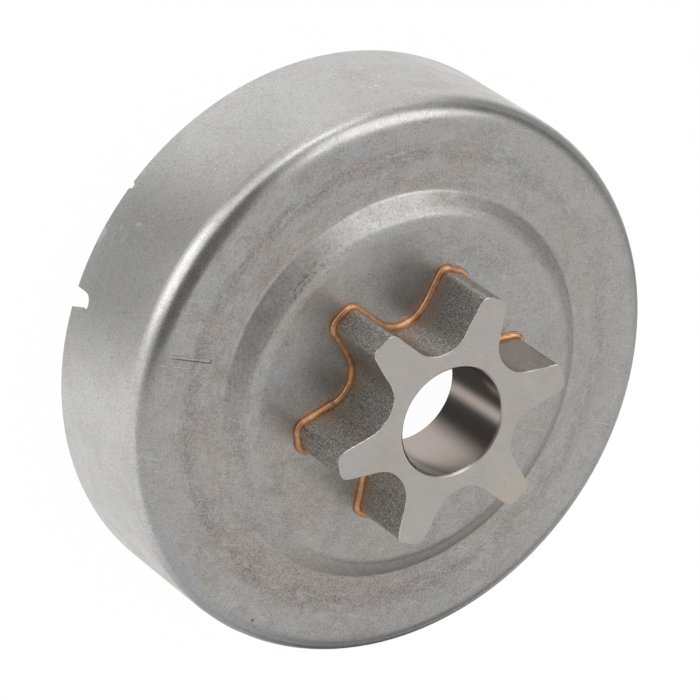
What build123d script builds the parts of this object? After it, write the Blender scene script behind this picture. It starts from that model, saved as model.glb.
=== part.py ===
from build123d import *
import os
from math import cos, radians, sin

# A chainsaw sprocket: a pressed steel clutch drum with a six-tooth spur sprocket brazed into its web.
# Millimetres. The axis is Z and the sprocket's end face points to +Z. The origin is the middle of the
# open rim, on which the part stands, and one tooth points along +X.

# Drum cup: the pressed sheet, its wall, its web and the raised middle of the web
DRUM_RADIUS = 33.9
SHEET = 1.6
WEB_HEIGHT = 17.9
PLATEAU_RISE = 2.15
STEP_TOP_RADIUS = 21.1
STEP_RUN = 2.5
CORNER_RADIUS = 3.0
STEP_TOP_FILLET = 3.5

# Notch in the rim that drives the oil pump's spring, and a small nick beside it
NOTCH_ANGLE = -27.9
NOTCH_WIDTH = 2.4
NOTCH_DEPTH = 3.0
NICK_ANGLE = -51.8
NICK_WIDTH = 0.8
NICK_DEPTH = 0.5

# Stamped tick on the web, in line with the notch
TICK_START_RADIUS = 26.1
TICK_LENGTH = 4.7
TICK_WIDTH = 0.45
TICK_DEPTH = 0.12

# Spur sprocket: the toothed part in front of the web, and the round spigot that sits in the web
TEETH = 6
TIP_RADIUS = 14.85
TIP_WIDTH = 3.16
TIP_CORNER_RADIUS = 0.95
FLANK_LEAN = 9.4
GULLET_RADIUS = 4.05
TOOTH_LENGTH = 9.05
BORE_RADIUS = 6.5
BORE_CHAMFER = 0.24
SPIGOT_WALL = 1.6

# Braze bead along the foot of the teeth: its height and width
BEAD_SIZE = 0.75

# Heights and radii that follow
step_foot_radius = STEP_TOP_RADIUS + STEP_RUN
plateau_height = WEB_HEIGHT + PLATEAU_RISE
spigot_end = plateau_height - SHEET
front_height = plateau_height + TOOTH_LENGTH
spigot_radius = BORE_RADIUS + SPIGOT_WALL


def drum_section():
    """Half section of the cup in the XZ plane: the outer line, then the same line one sheet further in."""
    step_length = (STEP_RUN**2 + PLATEAU_RISE**2) ** 0.5
    inner_shift = SHEET * (step_length - STEP_RUN) / PLATEAU_RISE
    outer = [
        (DRUM_RADIUS, 0, 0),
        (DRUM_RADIUS, 0, WEB_HEIGHT),
        (step_foot_radius, 0, WEB_HEIGHT),
        (STEP_TOP_RADIUS, 0, plateau_height),
        (spigot_radius, 0, plateau_height),
    ]
    outer_radii = [0, CORNER_RADIUS, 0, STEP_TOP_FILLET, 0]

    # A flat in the inner corner touches the radius that the sheet has there
    corner_flat = (2 - 2**0.5) * (CORNER_RADIUS - SHEET)
    inner = [
        (spigot_radius, 0, spigot_end),
        (STEP_TOP_RADIUS - inner_shift, 0, spigot_end),
        (step_foot_radius - inner_shift, 0, WEB_HEIGHT - SHEET),
        (DRUM_RADIUS - SHEET - corner_flat, 0, WEB_HEIGHT - SHEET),
        (DRUM_RADIUS - SHEET, 0, WEB_HEIGHT - SHEET - corner_flat),
        (DRUM_RADIUS - SHEET, 0, 0),
    ]
    radii = outer_radii + [0] * len(inner)
    return make_face(FilletPolyline(*outer, *inner, radius=radii, close=True))


def rim_cutter(angle, width, depth):
    """A round-ended slot, open at the rim, that runs out through the wall at this angle."""
    outward = (cos(radians(angle)), sin(radians(angle)), 0)
    along_rim = (-outward[1], outward[0], 0)
    face = Plane(origin=(0, 0, 0), x_dir=along_rim, z_dir=outward)
    round_end = Pos(0, depth - width / 2) * Circle(width / 2)
    straight = Pos(0, (depth - width / 2 - SHEET) / 2) * Rectangle(width, depth - width / 2 + SHEET)
    start = DRUM_RADIUS - 2 * SHEET
    return extrude(face.offset(start) * (round_end + straight), 3 * SHEET)


def tick_cutter():
    middle = Rot(0, 0, NOTCH_ANGLE) * Pos(TICK_START_RADIUS + TICK_LENGTH / 2, 0, WEB_HEIGHT - TICK_DEPTH)
    return extrude(middle * Rectangle(TICK_LENGTH, TICK_WIDTH), SHEET)


def clutch_drum():
    cup = revolve(drum_section(), Axis.Z)
    cup -= tick_cutter()
    cup -= rim_cutter(NOTCH_ANGLE, NOTCH_WIDTH, NOTCH_DEPTH)
    cup -= rim_cutter(NICK_ANGLE, NICK_WIDTH, NICK_DEPTH)
    return cup


def star_outline():
    """The teeth's outline at the web: flat tips, leaning flanks and one arc in each gullet."""
    lean = radians(FLANK_LEAN)
    half_pitch = radians(180 / TEETH)
    flank_offset = TIP_WIDTH / 2 * cos(lean) + TIP_RADIUS * sin(lean)
    valley_radius = flank_offset / sin(half_pitch + lean)
    corner_radius = min(TIP_CORNER_RADIUS, 0.4 * TIP_WIDTH)
    points = []
    for tooth in range(TEETH):
        turn = Rot(0, 0, tooth * 360 / TEETH)
        tooth_points = [
            (TIP_RADIUS, -TIP_WIDTH / 2),
            (TIP_RADIUS, TIP_WIDTH / 2),
            (valley_radius * cos(half_pitch), valley_radius * sin(half_pitch)),
        ]
        points += [(turn * Pos(x, y, plateau_height)).position for x, y in tooth_points]
    return FilletPolyline(*points, radius=[corner_radius, corner_radius, GULLET_RADIUS] * TEETH, close=True)


def spur_sprocket():
    teeth = extrude(make_face(star_outline()), TOOTH_LENGTH, dir=(0, 0, 1))
    up = (Align.CENTER, Align.CENTER, Align.MIN)
    spigot = Pos(0, 0, spigot_end) * Cylinder(spigot_radius, SHEET, align=up)
    bore = Pos(0, 0, spigot_end) * Cylinder(BORE_RADIUS, front_height - spigot_end, align=up)
    body = teeth + spigot - bore
    mouths = body.edges().filter_by(GeomType.CIRCLE).filter_by(lambda edge: abs(edge.radius - BORE_RADIUS) < 1e-6)
    return chamfer(mouths, BORE_CHAMFER)


def braze_bead():
    """The bead fills the corner between flank and web, with a slanted face."""
    foot = star_outline()
    outward = (foot % 0).cross(Vector(0, 0, 1))
    section = Plane(origin=foot @ 0, x_dir=outward, z_dir=foot % 0)
    top = section.from_local_coords((0, BEAD_SIZE))
    if top.Z < plateau_height:
        top = section.from_local_coords((0, -BEAD_SIZE))
    toe = section.from_local_coords((BEAD_SIZE, 0))
    return sweep(make_face(Polyline(top, section.origin, toe, close=True)), path=foot)


os.makedirs("parts", exist_ok=True)
export_step(clutch_drum(), "parts/clutch_drum.step")
export_step(spur_sprocket(), "parts/spur_sprocket.step")
export_step(braze_bead(), "parts/braze_bead.step")
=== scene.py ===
import math

import bpy
from mathutils import Matrix, Vector, noise


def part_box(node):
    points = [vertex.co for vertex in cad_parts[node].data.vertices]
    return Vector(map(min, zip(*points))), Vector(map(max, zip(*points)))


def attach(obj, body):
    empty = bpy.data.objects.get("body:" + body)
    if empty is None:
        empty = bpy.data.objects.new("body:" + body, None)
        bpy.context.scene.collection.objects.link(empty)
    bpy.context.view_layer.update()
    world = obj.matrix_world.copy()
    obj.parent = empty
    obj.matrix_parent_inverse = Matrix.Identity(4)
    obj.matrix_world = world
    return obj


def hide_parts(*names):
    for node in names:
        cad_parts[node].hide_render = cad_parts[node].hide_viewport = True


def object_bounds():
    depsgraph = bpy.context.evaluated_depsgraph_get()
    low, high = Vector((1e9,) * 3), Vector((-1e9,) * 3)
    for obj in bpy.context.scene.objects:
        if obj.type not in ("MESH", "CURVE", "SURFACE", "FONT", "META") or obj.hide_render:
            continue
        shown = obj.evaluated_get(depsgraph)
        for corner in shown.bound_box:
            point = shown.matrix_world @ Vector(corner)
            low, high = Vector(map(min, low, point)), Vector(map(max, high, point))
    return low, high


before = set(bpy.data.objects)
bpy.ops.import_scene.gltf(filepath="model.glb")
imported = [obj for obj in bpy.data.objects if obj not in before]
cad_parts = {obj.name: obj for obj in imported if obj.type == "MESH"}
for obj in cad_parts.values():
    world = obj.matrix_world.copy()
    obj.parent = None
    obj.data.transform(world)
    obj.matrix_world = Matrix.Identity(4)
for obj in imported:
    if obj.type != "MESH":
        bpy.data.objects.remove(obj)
cad_low, cad_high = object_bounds()

MM = 0.001

# Drum and sprocket, in millimetres from the axis or the rim's plane
FRONT_HEIGHT = cad_high.z / MM
WEB_HEIGHT = 17.9
PLATEAU_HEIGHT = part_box("clutch_drum")[1].z / MM
STEP_TOP_RADIUS = 21.1
STEP_FOOT_RADIUS = 23.6
BORE_RADIUS = 6.5

# Teeth, as they are in the solid: flat tips, leaning flanks and one arc in each gullet
TEETH = 6
TIP_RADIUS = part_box("spur_sprocket")[1].x / MM
TIP_WIDTH = 3.16
TIP_CORNER_RADIUS = 0.95
FLANK_LEAN = math.radians(9.4)
GULLET_RADIUS = 4.05

# Stamped tick on the web, whose lines run on over the drum's corner: its ends, and across it the bands of
# painted shade along its sides
TICK_ANGLE = math.radians(-27.9)
TICK_ENDS = (26.1, 31.4, 0.12)
TICK_HALF_WIDTH = 0.225
TICK_SHADE_EDGES = (TICK_HALF_WIDTH - 0.05, TICK_HALF_WIDTH + 0.03, 0.05)
TICK_GROUND_EDGE = (0.08, 0.18)
TICK_LOWEST = (WEB_HEIGHT - 1.0, WEB_HEIGHT - 0.8)

# Parts of the drum: where each starts and is full, by its radius
PLATEAU_EDGE = (STEP_TOP_RADIUS - 0.1, STEP_TOP_RADIUS - 1.6)
WALL_EDGE = (29.0, 30.5)

# The same, by how far the surface faces up
LEVEL_FACING = (0.93, 0.99)
WALL_FACING = (0.97, 0.85)
UPPER_WALL_FACING = (0.3, 0.6)
SLOPE_FACINGS = [(0.3, 0.5), (0.93, 0.85)]

# Rings of the drum, round the axis: the inner and outer radius and the soft edge of each
SLOPE_RING = (STEP_TOP_RADIUS, STEP_FOOT_RADIUS - 0.1, 0.25)
SCUFF_RING = (STEP_TOP_RADIUS, STEP_TOP_RADIUS + 1.0, 0.3)
INNER_RING = (STEP_FOOT_RADIUS, 27.2, 0.5)

# Turned rings of stain on the web, which lie round a middle of their own
RING_MIDDLE = (0.13, -0.74, 0.0)
RUST_RING = (STEP_FOOT_RADIUS + 0.1, 25.3, 0.5)
BROWN_RING = (24.4, 28.6, 0.8)
DARK_RING = (26.6, 28.3, 0.6)
OUTER_EDGE = (27.4, 28.4)

# How far the rings sway in and out, and how much their streaks are drawn out round the axis
RING_SWAY = 0.45
RING_STRETCH = 10.0

# Stains on one side of the axis: its azimuth in degrees, and how far out on it the stain starts and is full
BROWN_SIDE = (60, 13.0, 25.0)
WARM_SIDE = (60, 6.0, 26.0)
DARK_SIDES = [(-52, 15.0, 25.0), (74, 15.0, 25.0)]
# The web is darker towards its edge on this side
DARK_EDGE_SIDE = (86, 25.0, 30.0)
CLEAN_SIDE = (175, 0.0, 28.0)
COOL_SIDE = (60, 8.0, 28.0)
HEATED_TIP = (120, 10.0, 13.5)
DULL_SIDE = (-12, 6.0, 13.0)

# Spots: the middle of each, the radius beyond which it is gone and the radius within which it is full
# Small dent hollows, painted as dark spots of shade
DENT_SHADES = [((31.38, -12.84, 10.2), 0.17, 0.085), ((22.75, 21.97, 17.81), 0.26, 0.13)]
SCUFF_SPOT = ((11.3, -18.5, 19.7), 4.2, 2.2)
BLUE_SPOT = ((15.6, -8.3, 20.05), 6.5, 3.0)
CALM_SPOT = ((-11.4, -3.0, 24.5), 7.5, 5.5)

# Edges of the bore and of its mouth, by the radius, and the end face, by how far it faces up
BORE_EDGE = (BORE_RADIUS + 0.05, BORE_RADIUS + 0.15)
MOUTH_EDGE = (BORE_RADIUS + 0.5, BORE_RADIUS + 0.7)
FACE_FACING = (0.9, 0.99)

# Painted shade in the bore's mouth, standing in for a dark reflection: its side in degrees, its slant, and
# the slanted heights it grows between
MOUTH_SIDE = 55
MOUTH_SLANT = 5.0
MOUTH_PAINTED_SHADE = (57.0, 58.4)

# Heights over which the flanks turn browner towards their foot, and up to which the bead is darkened with
# painted shade at its foot
FLANK_BROWNING = (PLATEAU_HEIGHT, PLATEAU_HEIGHT + 6.0)
BEAD_FOOT_SHADE = (PLATEAU_HEIGHT, PLATEAU_HEIGHT + 0.3)

# Fine lines: their angles in radians, and how tightly the noise is packed along and across them
DRUM_SCRATCHES = (0.5, 2.2)
FACE_SCRATCHES = 1.1
SCRATCH_PACKING = (0.22, 5.5, 1.0)
GRINDING_ANGLE = math.radians(35)
GRINDING_PACKING = (0.6, 9.0, 1.0)

# Roughness, from the cleanest places to the most stained, and what it gains or loses in some parts
DRUM_ROUGHNESS = (0.21, 0.31)
SLOPE_GAIN = 0.19
PLATEAU_GAIN = 0.11
SPROCKET_ROUGHNESS = 0.3
FLANK_GAIN = 0.14
BORE_LOSS = 0.11
BEAD_ROUGHNESS = (0.3, 0.44)
BURR_ROUGHNESS = (0.2, 0.34)

# Share of the flanks' grain that is left on the ground face and in the bore
FINE_RELIEF = 0.1

# Longest step along the teeth's outline, the fewest steps in one of its arcs, and the angle of a sharp edge
PATH_STEP = 0.22
ARC_STEPS = 6
SHARP_ANGLE = math.radians(50)

# Bead of braze: its radius and how that swells, and its middle out from the teeth and up from the plateau
BEAD_RADIUS = 0.41
BEAD_SWELL = 0.2
BEAD_LUMPS = 0.06
BEAD_OUT = 0.17
BEAD_SWAY = 0.12
BEAD_LIFT = 0.26
BEAD_SIDES = 14

# Burr that grinding left on the teeth's front edge: shares of its largest radius
BURR_RADIUS = 0.13
BURR_MEAN = 0.62
BURR_RISE = 0.8
BURR_RAGS = 0.35
BURR_LEAST = 0.15
BURR_SIDES = 8

# Courses of smooth noise along the outline: the scale per millimetre and the layer of each
SWAY_COURSE = (0.33, 0.0)
SWELL_COURSE = (0.8, 7.0)
LUMP_COURSE = (2.4, 3.0)
RISE_COURSE = (0.45, 11.0)
RAG_COURSE = (3.0, 5.0)

# Small radius at the foot of the step
FOOT_RADIUS = 1.2
FOOT_SIDES = 6
FOOT_STEPS = 240
FOOT_LIFT = 0.003
FOOT_ROOT = 0.1

# Camera: it looks down on the sprocket's end, rolled so that the drum seems to stand on its wall
LOOK_AT = Vector((-3.675, 4.512, 0.0)) * MM
CAMERA_DISTANCE = 604.0 * MM
CAMERA_AZIMUTH = math.radians(-50.285)
CAMERA_ELEVATION = math.radians(50.471)
CAMERA_ROLL = math.radians(125.256)
CAMERA_LENS = 266.18
CAMERA_SENSOR = 36.0
CAMERA_NEAR = 0.05
CAMERA_FAR = 10.0

# Side of the square floor in metres, and the plain level of light from the studio
FLOOR_SIZE = 6.0
STUDIO_LEVEL = 0.55

# Floor as the camera sees it: the share that light and shadow fall on, its colour, and a glow up to white
FLOOR_SHADOW = 0.06
PAPER = 0.8
FLOOR_GLOW = (1 - FLOOR_SHADOW * PAPER * STUDIO_LEVEL) / (1 - FLOOR_SHADOW)

# Floor as metal sees it: its plain level, and soft patches of painted shade and painted light round the
# drum's axis. Each patch has its azimuth, half width and soft edge in degrees, inner and outer radius and
# soft edge in millimetres, and its gain
FLOOR_LEVEL = 0.915
FLOOR_PATCHES = {
    "under the cup": (0, 181, 1, 0, 31, 3, -0.84),
    "bore light": (-140, 63, 34, 0, 19.4, 1.0, 0.8),
    "bore rim": (-170, 45, 20, 20, 31, 2, 0.04),
    "bore stripe": (23, 12, 12, 0, 31, 3, 0.84),
    "front shade": (-38, 20, 13, 31, 49, 6, -0.43),
    "second shade": (-66, 15, 11, 44, 90, 10, -0.33),
    "left shade": (-124, 24, 12, 34, 80, 8, -0.08),
    "near side": (35, 22, 14, 33, 60, 6, -0.09),
    "light pool": (-42, 16, 9, 60, 500, 8, 0.9),
    "far side": (100, 56, 20, 44, 2900, 8, -0.44),
    "far side shade": (93, 17, 11, 50, 200, 14, -0.35),
    "far corner": (-168, 37, 13, 52, 2900, 14, -0.51),
}

# Soft panels of the studio that metal sees: azimuth, elevation, half width, half height and soft edge in
# degrees, and the gain over the plain level
STUDIO_PANELS = {
    "low strip": (-72, 2, 43, 12, 7, 1.2),
    "strip gap": (-66, 5, 20, 9, 6, -0.66),
    "upper softbox": (-132, 43, 29, 16, 8, 0.95),
    "dark side": (-43, 49, 42, 32, 9, -0.4),
    "dark corner": (-170, 5, 26, 17, 10, -0.36),
    "dark far side": (109, 7, 19, 17, 11, -0.34),
}

WHITE = (1.0, 1.0, 1.0, 1.0)

# Numbers of the Mix node's sockets for colours
MIX_FACTOR = 0
MIX_FIRST = 6
MIX_SECOND = 7
MIX_RESULT = 2


def direction(azimuth, elevation):
    """The unit vector at this azimuth from +X and this height over the floor, in radians."""
    flat = math.cos(elevation)
    return Vector((flat * math.cos(azimuth), flat * math.sin(azimuth), math.sin(elevation)))


# Node trees: short calls that add nodes and give back their output


def add(tree, kind, inputs=None, output=0, **settings):
    node = tree.nodes.new("ShaderNode" + kind)
    for name, value in settings.items():
        setattr(node, name, value)
    for key, value in (inputs or {}).items():
        if isinstance(value, bpy.types.NodeSocket):
            tree.links.new(value, node.inputs[key])
        else:
            node.inputs[key].default_value = value
    return node.outputs[output]


def show(tree, shader, kind="OutputMaterial"):
    """Makes this shader the surface of the material or the world."""
    out = tree.nodes.new("ShaderNode" + kind)
    tree.links.new(shader, out.inputs["Surface"])


def calc(tree, operation, first, second=0.0):
    return add(tree, "Math", {0: first, 1: second}, operation=operation)


def product(tree, *factors):
    result = factors[0]
    for factor in factors[1:]:
        result = calc(tree, "MULTIPLY", result, factor)
    return result


def smooth(tree, value, low, high, start=0.0, end=1.0):
    """From start to end with a soft S as the value goes from low to high."""
    inputs = {"Value": value, "From Min": low, "From Max": high, "To Min": start, "To Max": end}
    return add(tree, "MapRange", inputs, interpolation_type="SMOOTHSTEP")


def band(tree, value, low, high, soft):
    """1 between low and high, and 0 further out than soft."""
    rise = smooth(tree, value, low - soft, low + soft)
    fall = smooth(tree, value, high - soft, high + soft, 1.0, 0.0)
    return product(tree, rise, fall)


def opaque(colour):
    return colour if isinstance(colour, bpy.types.NodeSocket) else (*colour, 1.0)


def tone(tree, factor, first, second):
    """The first colour, turned into the second one as far as the factor says."""
    inputs = {MIX_FACTOR: factor, MIX_FIRST: opaque(first), MIX_SECOND: opaque(second)}
    return add(tree, "Mix", inputs, output=MIX_RESULT, data_type="RGBA")


def layered(tree, colour, layers):
    """The colour with these layers laid on in turn: the mask, the share and the colour of each."""
    for mask, share, shade in layers:
        colour = tone(tree, product(tree, mask, share), colour, shade)
    return colour


def cloud(tree, place, scale, detail=3.0, roughness=0.55, distortion=0.0):
    inputs = {"Vector": place, "Scale": scale, "Detail": detail, "Roughness": roughness}
    inputs["Distortion"] = distortion
    return add(tree, "TexNoise", inputs)


def bump(tree, height, strength, distance, normal=None):
    inputs = {"Height": height, "Strength": strength, "Distance": distance * MM}
    if normal is not None:
        inputs["Normal"] = normal
    return add(tree, "Bump", inputs)


def vector(tree, operation, first, second=(0.0, 0.0, 0.0), output="Vector"):
    return add(tree, "VectorMath", {0: first, 1: second}, output=output, operation=operation)


def scaled(tree, point, factors):
    return vector(tree, "MULTIPLY", point, factors)


def level_part(tree, point):
    return scaled(tree, point, (1.0, 1.0, 0.0))


def part_of(tree, point, axis):
    return add(tree, "SeparateXYZ", {0: point}, output=axis)


def rotated(tree, point, angle):
    return add(tree, "VectorRotate", {"Vector": point, "Angle": angle}, rotation_type="Z_AXIS")


def millimetres(tree):
    """The point in millimetres."""
    return scaled(tree, add(tree, "TexCoord", output="Object"), (1 / MM,) * 3)


def upward(tree):
    """How far the surface faces up, from -1 to 1."""
    return part_of(tree, add(tree, "TexCoord", output="Normal"), "Z")


def level_distance(tree, point, middle=(0.0, 0.0, 0.0)):
    """The level distance from this middle, or from the axis."""
    flat = level_part(tree, vector(tree, "SUBTRACT", point, middle))
    return vector(tree, "LENGTH", flat, output="Value")


def along(tree, point, azimuth):
    """How far the point lies on this side of the axis, with the azimuth in degrees."""
    return vector(tree, "DOT_PRODUCT", point, direction(math.radians(azimuth), 0.0), output="Value")


def side(tree, point, azimuth, start, full):
    """0 before the start on this side of the axis, and 1 from where it is full."""
    return smooth(tree, along(tree, point, azimuth), start, full)


def spot(tree, point, middle, edge, core):
    """1 within the core's radius of this middle, and 0 beyond the edge's radius."""
    return smooth(tree, vector(tree, "DISTANCE", point, middle, output="Value"), edge, core)


def degrees_from(tree, point, azimuth):
    """How many degrees round the axis the point lies from this azimuth in degrees."""
    local = rotated(tree, point, math.radians(-azimuth))
    angle = calc(tree, "ARCTAN2", part_of(tree, local, "Y"), part_of(tree, local, "X"))
    return calc(tree, "ABSOLUTE", calc(tree, "DEGREES", angle))


def turned(tree, point, radius, height):
    """A place for noise that is drawn out round the axis, on the web and on the wall alike."""
    around = vector(tree, "NORMALIZE", level_part(tree, point))
    around = scaled(tree, around, (RING_STRETCH,) * 3)
    outward = add(tree, "CombineXYZ", {"Z": calc(tree, "SUBTRACT", radius, height)})
    return vector(tree, "ADD", around, outward)


def scratches(tree, point, angle):
    """Fine, long and faint lines that run at this angle, in a few places."""
    stretched = scaled(tree, rotated(tree, point, angle), SCRATCH_PACKING)
    lines = smooth(tree, cloud(tree, stretched, scale=1.0, detail=1.0), 0.66, 0.74)
    areas = smooth(tree, cloud(tree, point, scale=0.13, detail=2.0), 0.5, 0.62)
    return product(tree, lines, areas)


def new_material(name):
    material = bpy.data.materials.new(name)
    material.use_nodes = True
    material.node_tree.nodes.clear()
    return material, material.node_tree


def metal(tree, colour, roughness, normal):
    inputs = {"Base Color": colour, "Metallic": 1.0, "Roughness": roughness, "Normal": normal}
    show(tree, add(tree, "BsdfPrincipled", inputs))


# Materials


def tick_lines(tree, point):
    """Painted shade along the two sides of the stamped tick, and its paler ground."""
    local = rotated(tree, point, -TICK_ANGLE)
    inside = band(tree, part_of(tree, local, "X"), *TICK_ENDS)
    across = calc(tree, "ABSOLUTE", part_of(tree, local, "Y"))
    tick_shade = product(tree, inside, band(tree, across, *TICK_SHADE_EDGES))
    ground = product(tree, inside, smooth(tree, across, *TICK_GROUND_EDGE, 1.0, 0.0))
    above = smooth(tree, part_of(tree, local, "Z"), *TICK_LOWEST)
    return product(tree, tick_shade, above), product(tree, ground, above)


def dent_shade(tree, point):
    """1 where the drum's small dent hollows are painted dark as their shade, and 0 round them."""
    marks = 0.0
    for middle, edge, core in DENT_SHADES:
        marks = calc(tree, "ADD", marks, spot(tree, point, middle, edge, core))
    return marks


def scuff(tree, point, radius):
    """Small dark specks close together near the top of the slope."""
    specks = smooth(tree, cloud(tree, point, scale=2.2, detail=2.0, roughness=0.6), 0.52, 0.6)
    return product(tree, specks, spot(tree, point, *SCUFF_SPOT), band(tree, radius, *SCUFF_RING))


def drum_steel():
    """Pressed steel: satin, with a sandy grain, turned rings, heat tint, brown stains and a few scratches."""
    material, tree = new_material("pressed_steel")
    point = millimetres(tree)
    radius = level_distance(tree, point)
    height = part_of(tree, point, "Z")
    up = upward(tree)

    clouds = cloud(tree, point, scale=0.09, detail=4.0, roughness=0.6)
    patches = cloud(tree, point, scale=0.24, detail=5.0, roughness=0.65, distortion=0.6)
    blots = cloud(tree, point, scale=0.75, detail=4.0, roughness=0.65, distortion=0.4)
    streaks = cloud(tree, turned(tree, point, radius, height), scale=1.1, detail=4.0, roughness=0.65)
    speckle = cloud(tree, point, scale=2.6, detail=3.0, roughness=0.7)
    grain = cloud(tree, point, scale=6.0, detail=2.0, roughness=0.6)
    tint = cloud(tree, scaled(tree, point, (1.0, 1.0, 0.5)), scale=0.15)
    tint = calc(tree, "SUBTRACT", tint, product(tree, side(tree, point, *WARM_SIDE), 0.08))

    wall = product(tree, smooth(tree, up, *WALL_FACING), smooth(tree, radius, *WALL_EDGE))
    level = smooth(tree, up, *LEVEL_FACING)
    plateau = product(tree, smooth(tree, radius, *PLATEAU_EDGE), level)
    slanted = [smooth(tree, up, *facing) for facing in SLOPE_FACINGS]
    slope = product(tree, band(tree, radius, *SLOPE_RING), *slanted)

    sway = smooth(tree, patches, 0.3, 0.7, -RING_SWAY, RING_SWAY)
    sway = calc(tree, "ADD", level_distance(tree, point, RING_MIDDLE), sway)
    outer = product(tree, smooth(tree, sway, *OUTER_EDGE), level)
    inner = product(tree, band(tree, radius, *INNER_RING), level)
    rust = product(tree, band(tree, sway, *RUST_RING), smooth(tree, streaks, 0.4, 0.62))
    dark = product(tree, band(tree, sway, *DARK_RING), smooth(tree, streaks, 0.36, 0.56, 0.45, 1.0), level)
    ring_tone = tone(tree, smooth(tree, tint, 0.55, 0.42), (0.335, 0.34, 0.34), (0.36, 0.305, 0.275))
    shades = [product(tree, dark, side(tree, point, *place)) for place in DARK_SIDES]
    arc = product(tree, band(tree, sway, *BROWN_RING), side(tree, point, *BROWN_SIDE))
    arc = product(tree, arc, smooth(tree, blots, 0.66, 0.42, 0.35, 1.0), level)

    # Darker towards the web's edge on one side
    darker_edge = product(tree, side(tree, point, *DARK_EDGE_SIDE), level)
    clean = product(tree, side(tree, point, *CLEAN_SIDE), level)
    cooled = product(tree, wall, smooth(tree, up, *UPPER_WALL_FACING), side(tree, point, *COOL_SIDE))
    blue = calc(tree, "MAXIMUM", smooth(tree, tint, 0.52, 0.64), spot(tree, point, *BLUE_SPOT))
    blue = product(tree, blue, plateau)
    brown = product(tree, smooth(tree, tint, 0.49, 0.36), level)
    sand = product(tree, smooth(tree, speckle, 0.48, 0.4), slope)
    lines = [scratches(tree, point, angle) for angle in DRUM_SCRATCHES]
    tick_shade, ground = tick_lines(tree, point)

    colour = tone(tree, smooth(tree, clouds, 0.36, 0.64), (0.58, 0.54, 0.49), (0.545, 0.553, 0.555))
    colour = layered(tree, colour, [
        (outer, 0.7, (0.55, 0.557, 0.562)),
        (inner, 0.6, (0.55, 0.51, 0.475)),
        (rust, 0.6, (0.47, 0.385, 0.34)),
        (dark, 0.85, ring_tone),
        *((shade, 0.4, (0.30, 0.29, 0.28)) for shade in shades),
        (arc, 0.7, (0.35, 0.275, 0.225)),
        (darker_edge, 0.4, (0.38, 0.38, 0.37)),
        (plateau, 0.4, (0.575, 0.528, 0.475)),
        (slope, 0.45, (0.575, 0.53, 0.48)),
        (blue, 0.55, (0.43, 0.455, 0.50)),
        (brown, 0.6, (0.49, 0.43, 0.37)),
        (smooth(tree, patches, 0.5, 0.66), 0.6, (0.40, 0.37, 0.34)),
        (smooth(tree, blots, 0.52, 0.68), 0.5, (0.42, 0.36, 0.32)),
        (smooth(tree, streaks, 0.46, 0.34), 0.5, (0.70, 0.69, 0.66)),
        (clean, 0.3, (0.72, 0.70, 0.67)),
        (wall, 0.6, (0.535, 0.54, 0.545)),
        (cooled, 0.6, (0.495, 0.525, 0.555)),
        (smooth(tree, speckle, 0.5, 0.72), 0.5, (0.31, 0.30, 0.285)),
        (smooth(tree, grain, 0.4, 0.58), 0.5, (0.78, 0.77, 0.75)),
        (sand, 0.28, (0.88, 0.87, 0.84)),
        (scuff(tree, point, radius), 0.6, (0.2, 0.19, 0.18)),
        (calc(tree, "ADD", *lines), 0.7, (0.86, 0.85, 0.83)),
        (ground, 0.3, (0.72, 0.70, 0.66)),
        # Painted shade along the tick's sides
        (tick_shade, 0.75, (0.17, 0.16, 0.15)),
        # Painted shade in the small dent hollows
        (dent_shade(tree, point), 0.75, (0.13, 0.13, 0.12)),
    ])

    roughness = smooth(tree, patches, 0.3, 0.7, *DRUM_ROUGHNESS)
    roughness = calc(tree, "ADD", roughness, product(tree, slope, SLOPE_GAIN))
    roughness = calc(tree, "ADD", roughness, product(tree, plateau, PLATEAU_GAIN))
    relief = bump(tree, speckle, strength=0.5, distance=0.008)
    relief = bump(tree, grain, strength=0.6, distance=0.008, normal=relief)
    metal(tree, colour, roughness, relief)
    return material


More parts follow.
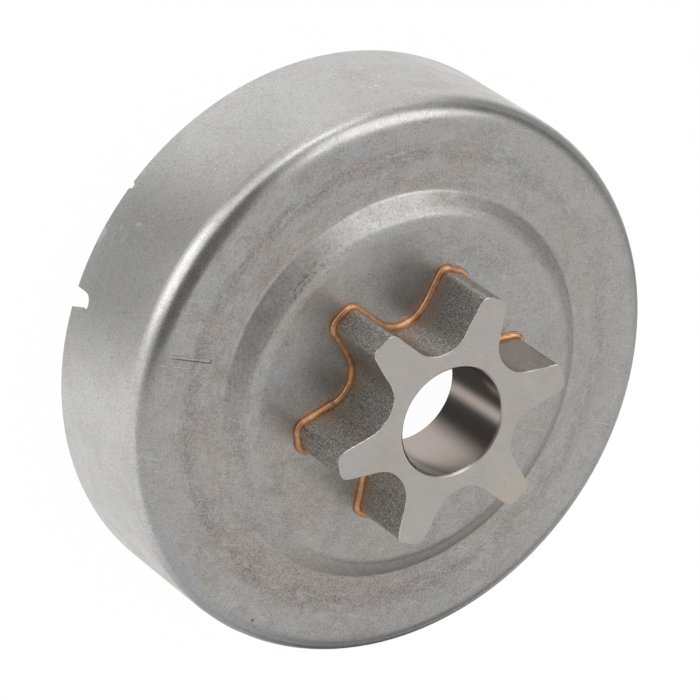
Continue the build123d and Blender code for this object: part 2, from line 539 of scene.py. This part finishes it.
def sprocket_steel():
    """Sintered steel: grainy flanks, a ground end face, a heated tooth tip, a polished bore and painted shade
    in its mouth.
    """
    material, tree = new_material("sintered_steel")
    point = millimetres(tree)
    radius = level_distance(tree, point)
    height = part_of(tree, point, "Z")
    patches = cloud(tree, point, scale=0.3, detail=4.0, roughness=0.6)
    grain = cloud(tree, point, scale=4.6, detail=3.0, roughness=0.7)
    ground = scaled(tree, rotated(tree, point, GRINDING_ANGLE), GRINDING_PACKING)
    lines = cloud(tree, ground, scale=1.0)

    face = smooth(tree, upward(tree), *FACE_FACING)
    bore = smooth(tree, radius, *BORE_EDGE, 1.0, 0.0)
    mouth = smooth(tree, radius, *MOUTH_EDGE, 1.0, 0.0)
    flank = calc(tree, "SUBTRACT", calc(tree, "SUBTRACT", 1.0, face), mouth)
    flank = calc(tree, "MAXIMUM", flank, 0.0)
    # Browner towards the foot of the flanks, near the bead
    foot = smooth(tree, height, *FLANK_BROWNING, 0.75, 0.15)
    # Painted shade: a dark crescent in the bore's mouth
    slanted = calc(tree, "ADD", height, product(tree, along(tree, point, MOUTH_SIDE), MOUTH_SLANT))
    shadow = product(tree, smooth(tree, slanted, *MOUTH_PAINTED_SHADE), bore)

    grey = tone(tree, smooth(tree, grain, 0.42, 0.62), (0.31, 0.305, 0.29), (0.76, 0.745, 0.71))
    grey = layered(tree, grey, [
        (foot, smooth(tree, patches, 0.42, 0.58), (0.52, 0.45, 0.38)),
        (spot(tree, point, *CALM_SPOT), 0.7, (0.36, 0.335, 0.305)),
    ])
    colour = tone(tree, smooth(tree, patches, 0.35, 0.65), (0.75, 0.71, 0.663), (0.72, 0.694, 0.658))
    colour = layered(tree, colour, [
        (smooth(tree, grain, 0.35, 0.7), 0.2, (0.58, 0.56, 0.53)),
        (smooth(tree, patches, 0.5, 0.66), 0.6, (0.74, 0.63, 0.55)),
        (product(tree, face, smooth(tree, lines, 0.4, 0.7)), 0.22, (0.45, 0.43, 0.41)),
        (product(tree, face, side(tree, point, *HEATED_TIP)), 0.7, (0.80, 0.695, 0.595)),
        (scratches(tree, point, FACE_SCRATCHES), 0.7, (0.92, 0.91, 0.89)),
        (flank, 1.0, grey),
        (bore, 1.0, (0.50, 0.435, 0.392)),
        # Painted shade in the bore's mouth
        (shadow, 0.8, (0.22, 0.22, 0.215)),
    ])

    roughness = calc(tree, "ADD", product(tree, flank, FLANK_GAIN), SPROCKET_ROUGHNESS)
    roughness = calc(tree, "SUBTRACT", roughness, product(tree, bore, BORE_LOSS))
    coarse = calc(tree, "ADD", product(tree, flank, 1 - FINE_RELIEF), FINE_RELIEF)
    relief = bump(tree, product(tree, grain, coarse), strength=1.0, distance=0.05)
    relief = bump(tree, product(tree, lines, face), strength=0.35, distance=0.004, normal=relief)
    metal(tree, colour, roughness, relief)
    return material


def braze_copper():
    """Copper braze: bright, a little uneven, dull brown in places, pink where it is cleanest and darkened
    with painted shade at its foot.
    """
    material, tree = new_material("copper_braze")
    point = millimetres(tree)
    patches = cloud(tree, point, scale=0.35, roughness=0.6)
    spots = cloud(tree, point, scale=1.7, roughness=0.6)
    grain = cloud(tree, point, scale=4.5, roughness=0.6)
    low = smooth(tree, part_of(tree, point, "Z"), *BEAD_FOOT_SHADE, 1.0, 0.0)
    colour = tone(tree, smooth(tree, patches, 0.38, 0.62), (0.99, 0.56, 0.31), (0.70, 0.36, 0.18))
    colour = layered(tree, colour, [
        (smooth(tree, spots, 0.5, 0.68), 0.6, (1.0, 0.69, 0.52)),
        (smooth(tree, spots, 0.34, 0.44, 1.0, 0.0), 0.4, (0.55, 0.29, 0.16)),
        (side(tree, point, *DULL_SIDE), 0.55, (0.60, 0.31, 0.15)),
        # Painted shade along the bead's foot
        (low, 0.45, (0.36, 0.22, 0.15)),
    ])
    roughness = smooth(tree, grain, 0.3, 0.7, *BEAD_ROUGHNESS)
    metal(tree, colour, roughness, bump(tree, grain, strength=0.5, distance=0.012))
    return material


def bright_steel():
    """The burr: clean and shiny."""
    material, tree = new_material("bright_burr")
    grain = cloud(tree, millimetres(tree), scale=3.0, detail=2.0)
    colour = tone(tree, smooth(tree, grain, 0.35, 0.65), (0.88, 0.87, 0.85), (0.74, 0.73, 0.71))
    roughness = smooth(tree, grain, 0.3, 0.7, *BURR_ROUGHNESS)
    metal(tree, colour, roughness, bump(tree, grain, strength=0.4, distance=0.01))
    return material


# Meshes that the solids leave out, in millimetres


def star_outline():
    """Points along the teeth's outline, close together, each with its outward normal, in millimetres."""
    half_pitch = math.pi / TEETH
    flank_offset = TIP_WIDTH / 2 * math.cos(FLANK_LEAN) + TIP_RADIUS * math.sin(FLANK_LEAN)
    valley = Vector((flank_offset / math.sin(half_pitch + FLANK_LEAN), 0.0))
    valley.rotate(Matrix.Rotation(half_pitch, 2))
    tooth_corners = [
        (Vector((TIP_RADIUS, -TIP_WIDTH / 2)), TIP_CORNER_RADIUS, 1),
        (Vector((TIP_RADIUS, TIP_WIDTH / 2)), TIP_CORNER_RADIUS, 1),
        (valley, GULLET_RADIUS, -1),
    ]
    corners = []
    for tooth in range(TEETH):
        turn = Matrix.Rotation(2 * half_pitch * tooth, 2)
        corners += [(turn @ place, radius, sense) for place, radius, sense in tooth_corners]

    arcs = []
    for index, (corner, radius, sense) in enumerate(corners):
        before = (corners[index - 1][0] - corner).normalized()
        after = (corners[(index + 1) % len(corners)][0] - corner).normalized()
        half = math.acos(before.dot(after)) / 2
        centre = corner + (before + after).normalized() * radius / math.sin(half)
        first = corner + before * radius / math.tan(half) - centre
        sweep = sense * (math.pi - 2 * half)
        steps = max(round(abs(sweep) * radius / PATH_STEP), ARC_STEPS)
        turns = [Matrix.Rotation(sweep * step / steps, 2) @ first for step in range(steps + 1)]
        arcs.append([(centre + spoke, sense * spoke.normalized()) for spoke in turns])

    outline = []
    for index, arc in enumerate(arcs):
        outline += arc
        (start, normal), (end, _) = arc[-1], arcs[(index + 1) % len(arcs)][0]
        steps = max(round((end - start).length / PATH_STEP), 1)
        outline += [(start.lerp(end, step / steps), normal) for step in range(1, steps)]
    return outline


def tube(name, rings, material):
    """A closed tube through these rings of points, in millimetres, that belongs to the rigid part."""
    sides = len(rings[0])
    corners = [Vector(corner) * MM for ring in rings for corner in ring]
    faces = []
    for ring in range(len(rings)):
        here, there = ring * sides, (ring + 1) % len(rings) * sides
        for edge in range(sides):
            beyond = (edge + 1) % sides
            faces.append((here + edge, here + beyond, there + beyond, there + edge))
    mesh = bpy.data.meshes.new(name)
    mesh.from_pydata(corners, [], faces)
    mesh.shade_smooth()
    mesh.set_sharp_from_angle(angle=SHARP_ANGLE)
    piece = bpy.data.objects.new(name, mesh)
    bpy.context.scene.collection.objects.link(piece)
    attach(piece, "root")
    mesh.materials.append(material)
    return piece


def ring_of(point, normal, out, height, radius, sides):
    """A round section at right angles to the outline, this far outside it and at this height."""
    ring = []
    for edge in range(sides):
        turn = 2 * math.pi * edge / sides
        reach = out + radius * math.cos(turn)
        place = (point.x + normal.x * reach, point.y + normal.y * reach)
        ring.append((*place, height + radius * math.sin(turn)))
    return ring


def waver(point, scale, layer):
    """Smooth noise between about -1 and 1 at this point of the outline."""
    return noise.noise(Vector((point.x, point.y, 0.0)) * scale + Vector((0.0, 0.0, layer)))


def braze_line(material):
    """The bead of braze round the foot of the teeth: thicker and thinner, and not quite on the corner."""
    rings = []
    for point, normal in star_outline():
        out = BEAD_OUT + BEAD_SWAY * waver(point, *SWAY_COURSE)
        swell = BEAD_SWELL * waver(point, *SWELL_COURSE) + BEAD_LUMPS * waver(point, *LUMP_COURSE)
        radius = BEAD_RADIUS * (1 + swell)
        rings.append(ring_of(point, normal, out, PLATEAU_HEIGHT + BEAD_LIFT, radius, BEAD_SIDES))
    piece = tube("braze_line", rings, material)
    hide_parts("braze_bead")


def edge_burr(material):
    """A thin ragged burr along the front edge of the teeth."""
    rings = []
    for point, normal in star_outline():
        share = BURR_MEAN + BURR_RISE * waver(point, *RISE_COURSE) + BURR_RAGS * waver(point, *RAG_COURSE)
        radius = BURR_RADIUS * min(max(share, BURR_LEAST), 1.0)
        rings.append(ring_of(point, normal, 0.0, FRONT_HEIGHT - radius, radius, BURR_SIDES))
    tube("tooth_edge_burr", rings, material)


def step_foot(material):
    """The hollow radius between the web and the slope of the step, rooted in the sheet."""
    slope = math.atan2(PLATEAU_HEIGHT - WEB_HEIGHT, STEP_FOOT_RADIUS - STEP_TOP_RADIUS)
    middle = STEP_FOOT_RADIUS + FOOT_RADIUS * math.tan(slope / 2)
    section = [(STEP_FOOT_RADIUS, WEB_HEIGHT - FOOT_ROOT)]
    for edge in range(FOOT_SIDES + 1):
        turn = slope * edge / FOOT_SIDES
        rise = FOOT_RADIUS * (1 - math.cos(turn))
        section.append((middle - FOOT_RADIUS * math.sin(turn), WEB_HEIGHT + FOOT_LIFT + rise))
    rings = []
    for step in range(FOOT_STEPS):
        spoke = direction(2 * math.pi * step / FOOT_STEPS, 0.0)
        rings.append([(spoke.x * reach, spoke.y * reach, height) for reach, height in section])
    tube("step_foot", rings, material)


# Stage: a white floor, a plain studio round it and the camera


def within(tree, value, half_width, soft):
    """1 up to this half width, fading to 0 over its soft edge."""
    return smooth(tree, value, half_width - soft, half_width + soft, 1.0, 0.0)


def seen_by(tree):
    """1 for the camera's own rays, and 1 for rays that metal mirrors or glass lets through."""
    path = tree.nodes.new("ShaderNodeLightPath")
    mirrored = calc(tree, "ADD", path.outputs["Is Glossy Ray"], path.outputs["Is Transmission Ray"])
    return path.outputs["Is Camera Ray"], mirrored


def floor():
    """A white floor that keeps a trace of the shadow, and shows metal the patches of painted shade and light
    above.
    """
    half = FLOOR_SIZE / 2
    corners = [(-half, -half, 0), (half, -half, 0), (half, half, 0), (-half, half, 0)]
    mesh = bpy.data.meshes.new("floor")
    mesh.from_pydata(corners, [], [(0, 1, 2, 3)])
    piece = bpy.data.objects.new("floor", mesh)
    bpy.context.scene.collection.objects.link(piece)

    material, tree = new_material("floor_paper")
    mesh.materials.append(material)
    place = millimetres(tree)
    away = level_distance(tree, place)
    level = FLOOR_LEVEL
    for azimuth, half_width, soft, inner, outer, soft_radius, gain in FLOOR_PATCHES.values():
        wide = within(tree, degrees_from(tree, place, azimuth), half_width, soft)
        share = product(tree, wide, band(tree, away, inner, outer, soft_radius))
        level = calc(tree, "ADD", level, product(tree, share, gain))
    level = calc(tree, "MAXIMUM", level, 0.0)
    camera_rays, mirrored = seen_by(tree)
    glow = calc(tree, "ADD", product(tree, camera_rays, 1 - FLOOR_SHADOW), mirrored)
    strength = product(tree, camera_rays, FLOOR_GLOW)
    strength = calc(tree, "ADD", strength, product(tree, mirrored, level))
    emission = add(tree, "Emission", {"Color": WHITE, "Strength": strength})
    paper = add(tree, "BsdfDiffuse", {"Color": opaque((PAPER,) * 3)})
    show(tree, add(tree, "MixShader", {0: glow, 1: paper, 2: emission}))


def studio():
    """White where the camera looks at it, a plain grey room, and soft panels that metal mirrors."""
    world = bpy.data.worlds.new("studio")
    bpy.context.scene.world = world
    world.use_nodes = True
    tree = world.node_tree
    tree.nodes.clear()
    sight = add(tree, "TexCoord", output="Generated")
    rise = calc(tree, "DEGREES", calc(tree, "ARCSINE", part_of(tree, sight, "Z")))
    level = STUDIO_LEVEL
    for azimuth, elevation, half_width, half_height, soft, gain in STUDIO_PANELS.values():
        wide = within(tree, degrees_from(tree, sight, azimuth), half_width, soft)
        off = calc(tree, "ABSOLUTE", calc(tree, "SUBTRACT", rise, elevation))
        high = within(tree, off, half_height, soft)
        level = calc(tree, "ADD", level, product(tree, wide, high, gain))
    camera_rays, mirrored = seen_by(tree)
    white = product(tree, camera_rays, 1 - STUDIO_LEVEL)
    panels = product(tree, mirrored, calc(tree, "SUBTRACT", level, STUDIO_LEVEL))
    strength = calc(tree, "ADD", calc(tree, "ADD", STUDIO_LEVEL, white), panels)
    background = add(tree, "Background", {"Color": WHITE, "Strength": strength})
    show(tree, background, "OutputWorld")


def camera():
    """A long lens over the sprocket's end."""
    back = direction(CAMERA_AZIMUTH, CAMERA_ELEVATION)
    level = Vector((-math.sin(CAMERA_AZIMUTH), math.cos(CAMERA_AZIMUTH), 0.0))
    upright = back.cross(level)
    right = math.cos(CAMERA_ROLL) * level + math.sin(CAMERA_ROLL) * upright
    up = back.cross(right)
    data = bpy.data.cameras.new("camera")
    data.lens = CAMERA_LENS
    data.sensor_width = CAMERA_SENSOR
    data.clip_start = CAMERA_NEAR
    data.clip_end = CAMERA_FAR
    eye = bpy.data.objects.new("camera", data)
    bpy.context.scene.collection.objects.link(eye)
    turn = Matrix((right, up, back)).transposed()
    eye.matrix_world = Matrix.Translation(LOOK_AT + CAMERA_DISTANCE * back) @ turn.to_4x4()
    bpy.context.scene.camera = eye


floor()
studio()
camera()

copper = braze_copper()
steel = drum_steel()
finishes = {"clutch_drum": steel, "spur_sprocket": sprocket_steel(), "braze_bead": copper}
for node, material in finishes.items():
    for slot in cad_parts[node].material_slots:
        slot.material = material
braze_line(copper)
edge_burr(bright_steel())
step_foot(steel)

bpy.context.scene.view_settings.view_transform = "Standard"
